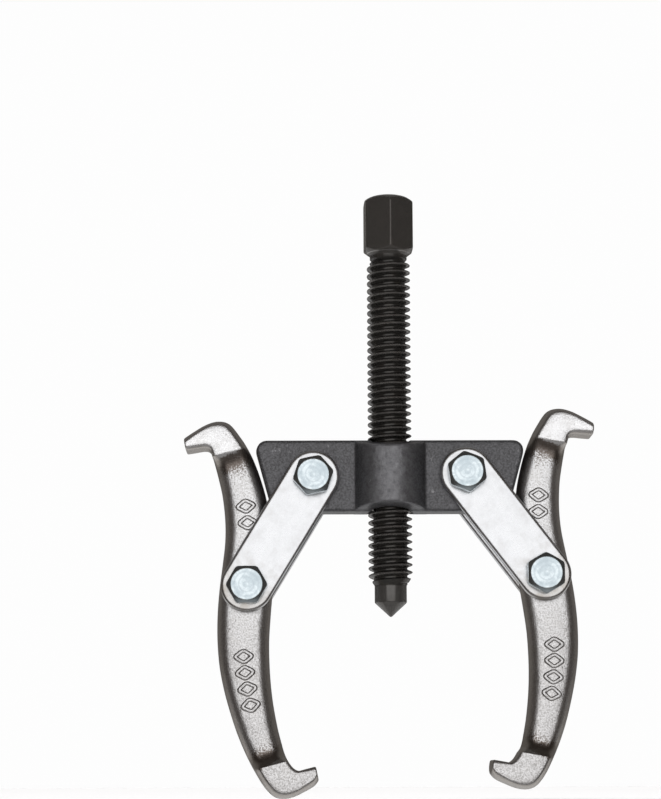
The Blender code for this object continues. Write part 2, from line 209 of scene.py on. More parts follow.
class Nodes:
    """Builds a node tree on top of a Principled shader."""

    def __init__(self, name):
        self.material = bpy.data.materials.new(name)
        self.material.use_nodes = True
        self.tree = self.material.node_tree
        self.shader = self.tree.nodes["Principled BSDF"]
        coordinates = self.tree.nodes.new("ShaderNodeTexCoord")
        scale = self.tree.nodes.new("ShaderNodeMapping")
        scale.inputs["Scale"].default_value = (1000, 1000, 1000)
        self.join(coordinates.outputs["Object"], scale.inputs["Vector"])
        self.mm = scale.outputs["Vector"]

    def join(self, source, target):
        self.tree.links.new(source, target)

    def put(self, value, socket):
        if isinstance(value, bpy.types.NodeSocket):
            self.join(value, socket)
        else:
            socket.default_value = value

    def stretched(self, x, y, z):
        node = self.tree.nodes.new("ShaderNodeMapping")
        node.inputs["Scale"].default_value = (x, y, z)
        self.join(self.mm, node.inputs["Vector"])
        return node.outputs["Vector"]

    def noise(self, scale, detail, roughness=0.55, vector=None, distortion=0.0):
        node = self.tree.nodes.new("ShaderNodeTexNoise")
        node.inputs["Scale"].default_value = scale
        node.inputs["Detail"].default_value = detail
        node.inputs["Roughness"].default_value = roughness
        node.inputs["Distortion"].default_value = distortion
        self.join(vector or self.mm, node.inputs["Vector"])
        return node.outputs["Fac"]

    def cells(self, scale):
        node = self.tree.nodes.new("ShaderNodeTexVoronoi")
        node.inputs["Scale"].default_value = scale
        self.join(self.mm, node.inputs["Vector"])
        return node.outputs["Distance"]

    def ramp(self, value, low, high, out_low=0.0, out_high=1.0, smooth=True):
        node = self.tree.nodes.new("ShaderNodeMapRange")
        node.interpolation_type = "SMOOTHSTEP" if smooth else "LINEAR"
        node.inputs["From Min"].default_value = low
        node.inputs["From Max"].default_value = high
        node.inputs["To Min"].default_value = out_low
        node.inputs["To Max"].default_value = out_high
        self.join(value, node.inputs["Value"])
        return node.outputs["Result"]

    def math(self, operation, first, second=0.0):
        node = self.tree.nodes.new("ShaderNodeMath")
        node.operation = operation
        self.put(first, node.inputs[0])
        self.put(second, node.inputs[1])
        return node.outputs[0]

    def mix(self, factor, first, second):
        node = self.tree.nodes.new("ShaderNodeMix")
        node.data_type = "RGBA"
        self.put(factor, node.inputs[0])
        for value, socket in ((first, node.inputs[6]), (second, node.inputs[7])):
            if isinstance(value, tuple):
                value = (*value, 1.0)
            self.put(value, socket)
        return node.outputs[2]

    def bump(self, height, distance, normal=None):
        node = self.tree.nodes.new("ShaderNodeBump")
        node.inputs["Strength"].default_value = 1.0
        node.inputs["Distance"].default_value = distance * MM
        self.join(height, node.inputs["Height"])
        if normal:
            self.join(normal, node.inputs["Normal"])
        return node.outputs["Normal"]

    def pointiness(self):
        node = self.tree.nodes.new("ShaderNodeNewGeometry")
        return node.outputs["Pointiness"]

    def attribute(self, name):
        node = self.tree.nodes.new("ShaderNodeAttribute")
        node.attribute_name = name
        return node.outputs["Fac"]

    def axis(self, source, index):
        split = self.tree.nodes.new("ShaderNodeSeparateXYZ")
        self.join(source, split.inputs[0])
        return split.outputs[index]

    def depth(self):
        return self.axis(self.mm, 1)

    def height(self):
        return self.axis(self.mm, 2)

    def facing(self):
        """1 on a face that looks along Y, 0 on one that looks sideways."""
        coordinates = self.tree.nodes.new("ShaderNodeTexCoord")
        return self.math("ABSOLUTE", self.axis(coordinates.outputs["Normal"], 1))

    def radius(self):
        """Distance from the Z axis, in millimetres."""
        squares = [self.math("POWER", self.axis(self.mm, i), 2.0) for i in (0, 1)]
        return self.math("SQRT", self.math("ADD", *squares))

    def finish(self, colour, roughness, normal, metallic=1.0):
        inputs = self.shader.inputs
        self.join(colour, inputs["Base Color"])
        self.join(roughness, inputs["Roughness"])
        self.put(metallic, inputs["Metallic"])
        self.join(normal, inputs["Normal"])
        return self.material


def nickel_forging():
    n = Nodes("satin_nickel_forging")
    grain = n.noise(2.4, 4.0, 0.62)
    fine = n.noise(5.0, 2.0, 0.6)
    swell = n.noise(0.16, 2.0, 0.5)
    patches = n.noise(0.35, 3.0, 0.6)
    pits = n.ramp(n.cells(0.8), 0.05, 0.2, 1.0, 0.0)
    sparse = n.ramp(n.noise(0.5, 2.0), 0.52, 0.68)
    pit_mask = n.math("MULTIPLY", pits, sparse)
    tone = n.mix(n.ramp(grain, 0.34, 0.6), (0.53, 0.525, 0.52), (0.76, 0.765, 0.78))
    # Painted shade: the jaw is painted darker towards its lower end
    painted_lower_shade = n.mix(n.ramp(grain, 0.34, 0.62), (0.33, 0.32, 0.315), (0.62, 0.61, 0.61))
    tone = n.mix(n.ramp(n.height(), 5.0, -22.0, 0.0, 0.6), tone, painted_lower_shade)
    # Painted highlight: the front face of the upper pad is painted lighter
    painted_pad_highlight = n.math("MULTIPLY", n.ramp(n.depth(), -4.2, -5.2), n.ramp(n.height(), 10.0, 30.0, 0.0, 0.75))
    tone = n.mix(painted_pad_highlight, tone, (0.87, 0.875, 0.89))
    tone = n.mix(n.ramp(patches, 0.45, 0.75, 0.0, 0.4), tone, (0.57, 0.56, 0.55))
    tone = n.mix(n.math("MULTIPLY", pit_mask, 0.6), tone, (0.16, 0.14, 0.12))
    # Soot and oil left where polishing doesn't reach, beside the pads; the faces that look sideways are
    # painted a darker brown, as painted shade
    spread = n.math("ADD", n.attribute("stain"), n.ramp(grain, 0.3, 0.7, 0.38, -0.38, False))
    spread = n.ramp(n.math("ADD", spread, n.ramp(patches, 0.3, 0.7, -0.15, 0.15, False)), 0.3, 0.8)
    sides = n.ramp(n.facing(), 0.9, 0.55, 0.0, 0.8)
    tone = n.mix(n.math("MULTIPLY", spread, 0.85), tone, (0.11, 0.08, 0.06))
    # Painted shade: faces that look sideways are painted a darker brown
    tone = n.mix(sides, tone, (0.40, 0.365, 0.33))
    rough = n.math("ADD", n.ramp(grain, 0.3, 0.7, 0.35, 0.25), n.ramp(fine, 0.3, 0.7, 0.06, 0.0))
    normal = n.bump(n.ramp(swell, 0.2, 0.8, 0.0, 1.0, False), 0.14)
    normal = n.bump(grain, 0.075, normal)
    normal = n.bump(fine, 0.02, normal)
    normal = n.bump(n.math("SUBTRACT", 1.0, pit_mask), 0.04, normal)
    return n.finish(tone, rough, normal)


def black_forging():
    n = Nodes("black_forging")
    grain = n.noise(1.9, 4.0, 0.62)
    fine = n.noise(4.5, 2.0, 0.6)
    swell = n.noise(0.14, 3.0, 0.5)
    tone = n.mix(n.ramp(grain, 0.32, 0.68), (0.064, 0.063, 0.066), (0.115, 0.115, 0.122))
    patch = n.ramp(n.noise(0.22, 3.0, 0.6), 0.5, 0.75, 0.0, 0.6)
    tone = n.mix(patch, tone, (0.125, 0.125, 0.132))
    scuff_area = n.ramp(n.noise(0.09, 1.0), 0.5, 0.62)
    scuffs = n.ramp(n.noise(0.55, 5.0, 0.75, n.stretched(1.0, 1.0, 0.6)), 0.6, 0.68)
    scuff = n.math("MULTIPLY", scuffs, scuff_area)
    edge = n.ramp(n.pointiness(), 0.54, 0.62, 0.0, 0.3)
    worn = n.math("MAXIMUM", scuff, edge)
    tone = n.mix(worn, tone, (0.26, 0.26, 0.27))
    # The boss stands proud: its front is painted lighter and mottled, partly rubbing from handling and
    # partly a painted highlight
    rubbing = n.ramp(n.noise(0.5, 4.0, 0.65), 0.35, 0.65, 0.3, 0.85)
    wear_and_sheen = n.math("MULTIPLY", n.ramp(n.depth(), -6.5, -10.0), rubbing)
    tone = n.mix(wear_and_sheen, tone, (0.19, 0.19, 0.20))
    rough = n.ramp(grain, 0.3, 0.7, 0.40, 0.29)
    normal = n.bump(n.ramp(swell, 0.2, 0.8, 0.0, 1.0, False), 0.24)
    normal = n.bump(grain, 0.09, normal)
    normal = n.bump(fine, 0.02, normal)
    return n.finish(tone, rough, normal, 0.65)


def black_oxide():
    n = Nodes("black_oxide_steel")
    grain = n.noise(2.6, 3.0, 0.6)
    swell = n.noise(0.22, 3.0, 0.6)
    # Only the thread's crests lie between these radii; the head is wider
    crest = n.ramp(n.radius(), 5.85, 6.08, 0.0, 0.95)
    thread = n.ramp(n.radius(), 6.12, 6.2, 1.0, 0.0)
    uneven = n.ramp(n.noise(0.15, 2.0), 0.35, 0.65, 0.3, 1.0)
    wear = n.math("MULTIPLY", n.math("MULTIPLY", crest, thread), uneven)
    tone = n.mix(n.ramp(grain, 0.3, 0.7), (0.030, 0.028, 0.026), (0.040, 0.038, 0.035))
    tone = n.mix(n.ramp(swell, 0.45, 0.75, 0.0, 0.5), tone, (0.060, 0.052, 0.045))
    # Painted highlight: the head is painted a shade lighter than the thread, which is the same steel
    tone = n.mix(n.ramp(n.height(), 61.5, 64.0, 0.0, 0.5), tone, (0.095, 0.087, 0.081))
    # Rubbed bright on the crests and round the plain end
    wear_and_sheen = n.math("MAXIMUM", wear, n.ramp(n.height(), -30.0, -30.6, 0.0, 0.2))
    tone = n.mix(wear_and_sheen, tone, (0.32, 0.31, 0.30))
    metal = n.ramp(wear_and_sheen, 0.0, 1.0, 0.5, 0.95, False)
    rough = n.math("ADD", n.ramp(grain, 0.3, 0.7, 0.20, 0.15), n.ramp(swell, 0.3, 0.7, 0.05, 0.0))
    normal = n.bump(grain, 0.008)
    normal = n.bump(swell, 0.03, normal)
    return n.finish(tone, rough, normal, metal)


def zinc_sheet():
    n = Nodes("zinc_plated_strap")
    mottled = n.noise(0.3, 4.0, 0.6)
    fine = n.noise(3.4, 4.0, 0.65)
    lines = n.noise(1.2, 3.0, 0.6, n.stretched(2.0, 2.0, 0.25))
    tone = n.mix(n.ramp(fine, 0.3, 0.7), (0.66, 0.67, 0.69), (0.75, 0.765, 0.785))
    tone = n.mix(n.ramp(mottled, 0.4, 0.75, 0.0, 0.4), tone, (0.66, 0.67, 0.69))
    # The plating has browned round the lower bolt
    lower_end = n.ramp(n.height(), -24.0, -41.0, 0.0, 0.5)
    stain = n.math("ADD", lower_end, n.ramp(mottled, 0.35, 0.7, -0.15, 0.15))
    tone = n.mix(n.ramp(stain, 0.0, 0.7), tone, (0.46, 0.435, 0.405))
    spots = n.ramp(n.noise(0.8, 4.0, 0.7), 0.64, 0.76, 0.0, 0.2)
    tone = n.mix(spots, tone, (0.55, 0.54, 0.53))
    rough = n.math("ADD", n.ramp(mottled, 0.3, 0.7, 0.25, 0.30), n.ramp(fine, 0.3, 0.7, 0.0, 0.04))
    normal = n.bump(mottled, 0.008)
    normal = n.bump(lines, 0.01, normal)
    normal = n.bump(fine, 0.01, normal)
    return n.finish(tone, rough, normal)


def zinc_bolt():
    n = Nodes("zinc_plated_fastener")
    mottled = n.noise(0.7, 3.0, 0.55, distortion=0.8)
    blotch = n.noise(0.28, 3.0, 0.6)
    rings = n.tree.nodes.new("ShaderNodeTexWave")
    rings.wave_type = "RINGS"
    rings.rings_direction = "Y"
    for name, value in (("Scale", 0.24), ("Distortion", 2.2), ("Detail", 2.0), ("Detail Scale", 0.6)):
        rings.inputs[name].default_value = value
    n.join(n.mm, rings.inputs["Vector"])
    swirl = rings.outputs["Fac"]
    tone = n.mix(n.ramp(mottled, 0.35, 0.68), (0.64, 0.71, 0.74), (0.55, 0.62, 0.66))
    tone = n.mix(n.ramp(blotch, 0.42, 0.60, 0.0, 0.7), tone, (0.42, 0.49, 0.53))
    tone = n.mix(n.ramp(swirl, 0.45, 0.9, 0.0, 0.45), tone, (0.42, 0.48, 0.52))
    rough = n.ramp(mottled, 0.3, 0.7, 0.20, 0.27)
    normal = n.bump(mottled, 0.026)
    normal = n.bump(swirl, 0.026, normal)
    return n.finish(tone, rough, normal)


# ---------------------------------------------------------------- jaws

# Outward and inward edge of the left jaw as (x, z) pairs about its bolt, from top to bottom tip
JAW_RAILS = (
    ((-17.0, 37.2), (-17.8, 41.0)),
    ((-14.5, 37.6), (-14.8, 43.0)),
    ((-12.2, 37.97), (-11.5, 44.9)),
    ((-10.9, 37.8), (-8.2, 45.8)),
    ((-10.2, 37.2), (-5.0, 45.0)),
    ((-10.0, 36.5), (-1.9, 41.2)),
    ((-9.6, 35.4), (0.0, 38.2)),
    ((-9.0, 33.3), (1.6, 35.0)),
    ((-8.0, 29.5), (3.4, 30.3)),
    ((-6.9, 24.5), (5.1, 24.5)),
    ((-6.2, 18.0), (6.2, 18.0)),
    ((-6.2, 12.0), (6.7, 12.0)),
    ((-6.9, 5.5), (6.9, 5.5)),
    ((-7.7, -1.0), (6.9, -1.5)),
    ((-8.2, -8.0), (6.4, -8.3)),
    ((-8.2, -15.0), (6.0, -15.0)),
    ((-7.6, -22.0), (6.1, -21.5)),
    ((-6.4, -28.2), (6.5, -27.3)),
    ((-4.8, -34.0), (7.2, -32.8)),
    ((-2.8, -40.0), (8.3, -38.6)),
    ((-0.9, -44.6), (9.4, -42.9)),
    ((0.7, -47.9), (10.2, -45.6)),
    ((1.9, -50.1), (11.2, -47.7)),
    ((3.6, -53.0), (12.3, -49.2)),
    ((5.2, -55.2), (13.3, -50.0)),
    ((7.2, -57.1), (14.2, -50.25)),
    ((9.6, -57.8), (15.1, -50.02)),
    ((12.6, -57.3), (16.0, -49.79)),
    ((15.8, -55.8), (16.9, -49.56)),
    ((18.2, -54.4), (17.8, -49.33)),
    ((19.5, -52.9), (18.7, -49.1)),
)
RAIL_STEPS = 6
RAIL_LIFT = Vector((0, 0.25))
ARM_HALF = 3.8
UPPER_HALF = 5.5
LOWER_HALF = 6.4
UPPER_STEP = (6.0, 7.5)
LOWER_STEP = (20.3, 22.0)
EDGE_TURNS = 9
FACE_COLUMNS = 8
TIP_ROUND = 0.45
ARM_CROWN = 0.16
PAD_CROWN = 0.03
SWELL_SCALE = 0.23
SWELL_START = Vector((7.3, 1.1, 4.2))
SWELL_HEIGHT = 0.05
# Stations along the rails where each stain starts, is full, begins to fade and ends
STAINS = ((6.1, 6.4, 7.0, 8.4), (22.0, 21.7, 21.0, 19.3))
LOWER_MARKS = (-19.2, -23.6, -28.0, -32.4)
UPPER_MARKS = (22.0, 17.4)
MARK_LENGTH = 5.0
MARK_WIDTH = 3.5
MARK_CORNER = 0.24
MARK_SINK = 0.05
# Section of a mark's line as (across, rise)
MARK_SECTION = (
    (-0.74, -0.4),
    (-0.62, 0.0),
    (-0.36, 0.30),
    (-0.2, 0.35),
    (0.2, 0.35),
    (0.36, 0.30),
    (0.62, 0.0),
    (0.74, -0.4),
)


def smooth_rail(points, steps):
    """A Catmull-Rom curve through the points."""
    ends = [2 * points[0] - points[1], *points, 2 * points[-1] - points[-2]]
    curve = []
    for before, start, end, after in zip(ends, ends[1:], ends[2:], ends[3:]):
        for step in range(steps):
            t = step / steps
            curve.append(
                0.5
                * (
                    2 * start
                    + (end - before) * t
                    + (2 * before - 5 * start + 4 * end - after) * t * t
                    + (3 * start - before - 3 * end + after) * t**3
                )
            )
    return [*curve, points[-1]]


def fall(value, start, end):
    """0 before start and 1 after end; quick at the start, easing into the end."""
    t = min(max((value - start) / (end - start), 0.0), 1.0)
    eased = t * t * (3 - 2 * t)
    return 0.45 * eased + 0.55 * (1 - (1 - t) ** 2.2)


def jaw_section(station):
    """Half thickness, and the inset and draft of each edge, at a station along the rails."""
    upper = 1.0 - fall(station, *UPPER_STEP)
    lower = 1.0 - fall(-station, -LOWER_STEP[1], -LOWER_STEP[0])
    arm = max(0.0, 1.0 - upper - lower)
    half = upper * UPPER_HALF + lower * LOWER_HALF + arm * ARM_HALF
    outward = (upper * 1.1 + lower * 1.9 + arm * 3.3, lower + arm)
    inward = (upper * 2.0 + lower * 1.0 + arm * 3.3, upper + arm)
    return half, outward, inward


def edge_inset(height, half, inset, draft):
    """How far the side has drawn in at a height, 0 at the parting plane and 1 at the face."""
    soft = 0.2 * height + 0.8 * (1 - math.sqrt(max(0.0, 1 - height**2.6)))
    below = (1 - height) * half
    crisp = 0.0
    if below < inset:
        crisp = 1 - math.sqrt(max(0.0, 1 - ((inset - below) / inset) ** 2))
    return inset * (draft * soft + (1 - draft) * crisp)


def jaw_ring(outward, inward, half, outward_edge, inward_edge, trim):
    """One closed section of the jaw, as points in its plane with their depths."""
    across = (inward - outward).normalized()
    outward = outward + across * trim
    inward = inward - across * trim
    half = half - trim
    turns = [math.pi / 2 * i / EDGE_TURNS for i in range(-EDGE_TURNS, EDGE_TURNS + 1)]
    first = []
    second = []
    for turn in turns:
        height = math.sin(turn)
        up = abs(height)
        first.append((outward + across * edge_inset(up, half, *outward_edge), -height * half))
        second.append((inward - across * edge_inset(up, half, *inward_edge), height * half))
    ring = []
    for edge, other_edge in ((first, second), (second, first)):
        ring += edge
        near, far = edge[-1], other_edge[0]
        for i in range(1, FACE_COLUMNS):
            share = i / FACE_COLUMNS
            ring.append((near[0].lerp(far[0], share), near[1] + (far[1] - near[1]) * share))
    return ring


def jaw_stations():
    outward_rail = smooth_rail([Vector(pair[0]) + RAIL_LIFT for pair in JAW_RAILS], RAIL_STEPS)
    inward_rail = smooth_rail([Vector(pair[1]) + RAIL_LIFT for pair in JAW_RAILS], RAIL_STEPS)
    return outward_rail, inward_rail


def jaw_solid():
    """The left jaw about its bolt, in millimetres, in (x, y, z)."""
    outward_rail, inward_rail = jaw_stations()
    last = len(outward_rail) - 1
    stations = [(i, outward_rail[i], inward_rail[i], 0.0) for i in range(len(outward_rail))]
    # Both tips end in a small round
    rails = (outward_rail, inward_rail)
    for index, step in ((0, 1), (last, -1)):
        beyond = index + step
        out_dir = (outward_rail[index] - outward_rail[beyond]).normalized()
        in_dir = (inward_rail[index] - inward_rail[beyond]).normalized()
        kept = index
        while min((rail[kept] - rail[index]).length for rail in rails) < TIP_ROUND + 0.05:
            kept += step
        caps = []
        for k in range(4):
            angle = math.pi / 2 * k / 3
            back = TIP_ROUND * (1 - math.sin(angle))
            trim = TIP_ROUND * (1 - math.cos(angle))
            outward = outward_rail[index] - out_dir * back
            inward = inward_rail[index] - in_dir * back
            caps.append((index, outward, inward, trim))
        if index == 0:
            stations = caps[::-1] + stations[kept:]
        else:
            stations = stations[: kept - last] + caps
    work = bmesh.new()
    rings = []
    for i, outward, inward, trim in stations:
        half, outward_edge, inward_edge = jaw_section(i / RAIL_STEPS)
        ring = jaw_ring(outward, inward, half, outward_edge, inward_edge, trim)
        points = []
        middle = (ring[0][0] + ring[2 * EDGE_TURNS + FACE_COLUMNS][0]) / 2
        reach = max((p - middle).length for p, _ in ring)
        # The arm's face is crowned and the pads' faces are nearly flat
        crown = ARM_CROWN * (1 - half / LOWER_HALF) / (1 - ARM_HALF / LOWER_HALF) + PAD_CROWN
        for p, y in ring:
            y *= 1 - crown * ((p - middle).length / reach) ** 2
            wave = noise.noise(Vector((p.x, y * 1.5, p.y)) * SWELL_SCALE + SWELL_START)
            points.append((p.x, y - SWELL_HEIGHT * wave * (y / half), p.y))
        rings.append(new_ring(work, points))
    skin(work, rings)
    work.faces.new(rings[0])
    work.faces.new(rings[-1])
    return mesh_from("jaw", work)


def mark_mesh(centre, turn, face):
    """A raised outlined lozenge on the front face at depth face."""
    work = bmesh.new()
    long_half = Vector((MARK_LENGTH / 2, 0))
    short_half = Vector((0, MARK_WIDTH / 2))
    corners = [long_half, short_half, -long_half, -short_half]
    path = []
    for i, corner in enumerate(corners):
        before = corners[i - 1]
        after = corners[(i + 1) % 4]
        start = corner.lerp(before, MARK_CORNER)
        end = corner.lerp(after, MARK_CORNER)
        for step in range(6):
            t = step / 5
            path.append(start.lerp(corner, t).lerp(corner.lerp(end, t), t))
    spin = Matrix.Rotation(turn, 2)
    rings = []
    for i, point in enumerate(path):
        along = (path[(i + 1) % len(path)] - path[i - 1]).normalized()
        side = Vector((along.y, -along.x))
        ring = []
        for across, rise in MARK_SECTION:
            p = spin @ (point + side * across) + centre
            ring.append((p.x, -(face + rise), p.y))
        rings.append(new_ring(work, ring))
    skin(work, rings, close=True)
    return mesh_from("mark", work)


def centre_line():
    """The middle of the jaw from its upper to its lower tip."""
    outward_rail, inward_rail = jaw_stations()
    return [(a + b) / 2 for a, b in zip(outward_rail, inward_rail)]


def at_height(line, height):
    """The point of the centre line at a height, and the line's direction there."""
    for before, after in zip(line, line[1:]):
        if after.y <= height < before.y:
            share = (before.y - height) / (before.y - after.y)
            return before.lerp(after, share), (after - before).normalized()
    return line[0], Vector((0, -1))


def add_stain(mesh):
    """Marks how far each vertex lies in the hollows beside the two pads."""
    line = centre_line()
    values = []
    for vertex in mesh.vertices:
        spot = Vector((vertex.co.x, vertex.co.z))
        station = min(range(len(line)), key=lambda i: (line[i] - spot).length_squared) / RAIL_STEPS
        value = 0.0
        for start, full, fade, end in STAINS:
            direction = 1 if end > start else -1
            rise = (station - start) * direction / abs(full - start)
            drop = (end - station) * direction / abs(end - fade)
            value = max(value, min(1.0, rise, drop))
        values.append(value)
    layer = mesh.attributes.new("stain", "FLOAT", "POINT")
    layer.data.foreach_set("value", values)


def build_jaw(name, arm, surface):
    side = arm["side"]
    line = centre_line()
    tools = []
    for height in (*UPPER_MARKS, *LOWER_MARKS):
        centre, along = at_height(line, height)
        turn = math.atan2(along.y, along.x) + math.pi / 2
        tools.append((mark_mesh(centre, turn, ARM_HALF - MARK_SINK), "UNION"))
    hole = lying(cylinder(HOLE_RADIUS, HOLE_CUTTER, 32))
    mesh = with_boolean(jaw_solid(), [*tools, (hole, "DIFFERENCE")])
    add_stain(mesh)
    if side > 0:
        mesh.transform(Matrix.Scale(-1, 4, (1, 0, 0)))
        mesh.flip_normals()
    mesh.transform(Matrix.Rotation(-side * math.radians(arm["jaw"]), 4, "Y"))
    in_metres(mesh)
    place = Matrix.Translation(jaw_bolt(arm))
    body = f"{name}_jaw"
    add_piece(f"{body}_forging", mesh, surface, body, body, 38, place)


def link_bolt(arm):
    return HUB + Vector((arm["hole"][0], 0, arm["hole"][1])) * MM


def jaw_bolt(arm):
    angle = math.radians(arm["link"])
    reach = Vector((arm["side"] * math.sin(angle), 0, -math.cos(angle))) * LINK_CENTRES
    return link_bolt(arm) + reach * MM


# ---------------------------------------------------------------- links, bolts, nuts


def link_mesh():
    """A flat strap with round ends and two holes, hanging from its upper hole."""
    curve = bpy.data.curves.new("strap outline", "CURVE")
    curve.dimensions = "2D"
    curve.fill_mode = "BOTH"
    curve.extrude = LINK_THICKNESS / 2 - LINK_EDGE
    curve.bevel_depth = LINK_EDGE
    curve.bevel_resolution = 5
    radius = LINK_RADIUS - LINK_EDGE
    outline = []
    for centre, start, onward in ((0.0, 0.0, -LINK_CENTRES), (-LINK_CENTRES, math.pi, LINK_CENTRES)):
        for step in range(LINK_END_STEPS + 1):
            angle = start + math.pi * step / LINK_END_STEPS
            outline.append((radius * math.cos(angle), centre + radius * math.sin(angle)))
        side = math.copysign(radius, onward)
        for step in range(1, LINK_SIDE_STEPS):
            share = step / LINK_SIDE_STEPS
            outline.append((side, centre + onward * share))
    loops = [outline]
    hole = HOLE_RADIUS + LINK_EDGE
    turns = [-2 * math.pi * step / LINK_END_STEPS for step in range(LINK_END_STEPS)]
    for centre in (0.0, -LINK_CENTRES):
        loops.append([(hole * math.cos(a), centre + hole * math.sin(a)) for a in turns])
    for loop in loops:
        spline = curve.splines.new("POLY")
        spline.points.add(len(loop) - 1)
        for point, (x, y) in zip(spline.points, loop):
            point.co = (x, y, 0, 1)
        spline.use_cyclic_u = True
    mesh = baked(linked("strap outline", curve))
    work = bmesh.new()
    work.from_mesh(mesh)
    bpy.data.meshes.remove(mesh)
    bmesh.ops.remove_doubles(work, verts=work.verts, dist=WELD)
    return lying(mesh_from("strap", work))


def hexagon_reach(angle, flats, rounding):
    """Distance to a hexagon's side at an angle from a flat's middle, with softened corners."""
    off = (math.degrees(angle) + 30) % 60 - 30
    reach = flats / 2 / math.cos(math.radians(off))
    corner = flats / math.sqrt(3) - rounding
    return min(reach, corner + 0.25 * (reach - corner)) if reach > corner else reach


def hexagon_columns():
    """Angles round a hexagon, closer together at its corners, measured from a corner."""
    shares = (-30, -24, -18, -12, -8, -5, -2.5, -1, 0, 1, 2.5, 5, 8, 12, 18, 24)
    return [math.radians(60 * k + s) for k in range(6) for s in shares]


def hexagon_ring(work, flats, rounding, turn, height_of):
    """A ring on a hexagon's side; height_of gives the height from the distance."""
    points = []
    for a in hexagon_columns():
        reach = hexagon_reach(a + math.radians(30), flats, rounding)
        points.append((reach * math.cos(a + turn), reach * math.sin(a + turn), height_of(reach)))
    return new_ring(work, points)


def round_ring(work, radius, turn, height):
    angles = [a + turn for a in hexagon_columns()]
    return new_ring(work, [(radius * math.cos(a), radius * math.sin(a), height) for a in angles])


def between_ring(work, inner, flats, rounding, turn, share, height_of):
    """A ring part of the way from a circle to a hexagon's side."""
    points = []
    for a in hexagon_columns():
        reach = hexagon_reach(a + math.radians(30), flats, rounding)
        distance = inner + (reach - inner) * share
        points.append((distance * math.cos(a + turn), distance * math.sin(a + turn), height_of(distance)))
    return new_ring(work, points)


def bolt_mesh(turn):
    """A hex bolt along Z, head up, with a round bearing disc and a steep chamfer."""
    top = UNDER_HEAD + BOLT_HEAD
    eased = BOLT_CORNER + 0.02
    work = bmesh.new()

    def chamfer(distance):
        return top - 0.1 - (distance - BOLT_DISC) * BOLT_CHAMFER

    rings = []
    # The end face is slightly dished
    face = ((0.35, 0.13), (1.6, 0.12), (2.9, 0.07), (3.9, 0.02), (4.22, 0.03), (BOLT_DISC, 0.1))
    for radius, drop in face:
        rings.append(round_ring(work, radius, turn, top - drop))
    for share in (0.35, 0.7, 0.93):
        rings.append(between_ring(work, BOLT_DISC, BOLT_FLATS, BOLT_CORNER, turn, share, chamfer))
    rings.append(hexagon_ring(work, BOLT_FLATS - 0.06, eased, turn, lambda r: chamfer(r) - 0.12))
    rings.append(hexagon_ring(work, BOLT_FLATS, BOLT_CORNER, turn, lambda r: chamfer(r) - 0.3))
    rings.append(hexagon_ring(work, BOLT_FLATS, BOLT_CORNER, turn, lambda r: UNDER_HEAD + 0.35))
    rings.append(hexagon_ring(work, BOLT_FLATS - 0.3, eased, turn, lambda r: UNDER_HEAD + 0.05))
    rings.append(round_ring(work, NUT_DISC, turn, UNDER_HEAD + 0.02))
    rings.append(round_ring(work, BOLT_RADIUS, turn, UNDER_HEAD))
    thread_start = -(UNDER_HEAD + NUT_THICKNESS) + 1.0
    rings.append(round_ring(work, BOLT_RADIUS, turn, thread_start))
    height = thread_start
    while height - BOLT_THREAD_PITCH > -BOLT_END + BOLT_THREAD_PITCH:
        rings.append(round_ring(work, BOLT_THREAD_ROOT, turn, height - BOLT_THREAD_PITCH / 2))
        rings.append(round_ring(work, BOLT_RADIUS, turn, height - BOLT_THREAD_PITCH))
        height -= BOLT_THREAD_PITCH
    rings.append(round_ring(work, 2.35, turn, -BOLT_END + 0.05))
    rings.append(round_ring(work, 1.2, turn, -BOLT_END))
    skin(work, rings)
    work.faces.new(rings[0])
    work.faces.new(rings[-1])
    return lying(mesh_from("bolt", work))


def nut_mesh(turn):
    """A hex nut along Z, behind the rear link, with its bore drawn in at both ends."""
    near = -UNDER_HEAD
    eased = BOLT_CORNER + 0.02
    far = -(UNDER_HEAD + NUT_THICKNESS)
    work = bmesh.new()

    def far_chamfer(distance):
        return far + max(0.0, distance - NUT_DISC) * NUT_FAR_CHAMFER

    def near_chamfer(distance):
        return near - max(0.0, distance - NUT_DISC) * NUT_NEAR_CHAMFER

    rings = [
        round_ring(work, 2.8, turn, near - 0.9),
        round_ring(work, 3.35, turn, near),
        round_ring(work, NUT_DISC, turn, near),
        between_ring(work, NUT_DISC, BOLT_FLATS, BOLT_CORNER, turn, 0.6, near_chamfer),
        hexagon_ring(work, BOLT_FLATS - 0.06, eased, turn, lambda r: near_chamfer(r) - 0.05),
        hexagon_ring(work, BOLT_FLATS, BOLT_CORNER, turn, lambda r: near_chamfer(r) - 0.25),
        hexagon_ring(work, BOLT_FLATS, BOLT_CORNER, turn, lambda r: far_chamfer(r) + 0.3),
        hexagon_ring(work, BOLT_FLATS - 0.06, eased, turn, lambda r: far_chamfer(r) + 0.1),
        between_ring(work, NUT_DISC, BOLT_FLATS, BOLT_CORNER, turn, 0.75, far_chamfer),
        between_ring(work, NUT_DISC, BOLT_FLATS, BOLT_CORNER, turn, 0.3, far_chamfer),
        round_ring(work, NUT_DISC, turn, far + 0.02),
        round_ring(work, NUT_DISC - 0.2, turn, far),
        round_ring(work, 3.5, turn, far),
        round_ring(work, 2.8, turn, far + 0.75),
    ]
    skin(work, rings, close=True)
    return lying(mesh_from("nut", work))


